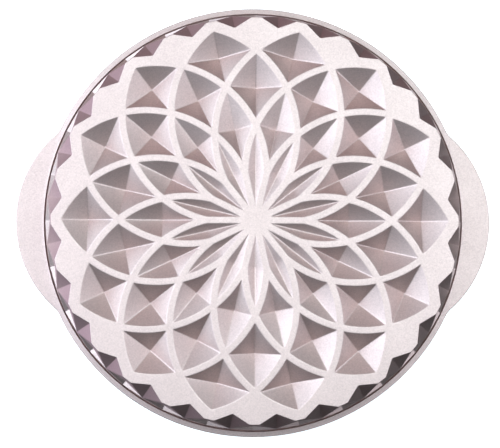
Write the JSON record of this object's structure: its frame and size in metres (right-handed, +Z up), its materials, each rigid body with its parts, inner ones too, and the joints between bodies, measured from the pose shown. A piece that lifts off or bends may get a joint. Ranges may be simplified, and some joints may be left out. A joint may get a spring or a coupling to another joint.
{
  "type": "decorative cake pan",
  "caption": "Round cast cake pan with a faceted rosette base, fluted flared wall, narrow rim flange and crescent handles; moulds a patterned cake, and stands upside down on its rim.",
  "frame": {"origin": "centre of the plane of the rim, on which the pan stands upside down", "axes": "+Z up towards the rosette, +X through the right handle, +Y towards the back"},
  "size_m": [0.2876, 0.2602, 0.046],
  "materials": {
    "coated_casting": "satin, fine-grained champagne-rose non-stick coat sprayed on a casting"
  },
  "bodies": {
    "root": {"rosette_panel": "coated_casting", "side_wall": "coated_casting", "rim_flange": "coated_casting", "handle_left": "coated_casting", "handle_right": "coated_casting"}
  },
  "joints": []
}
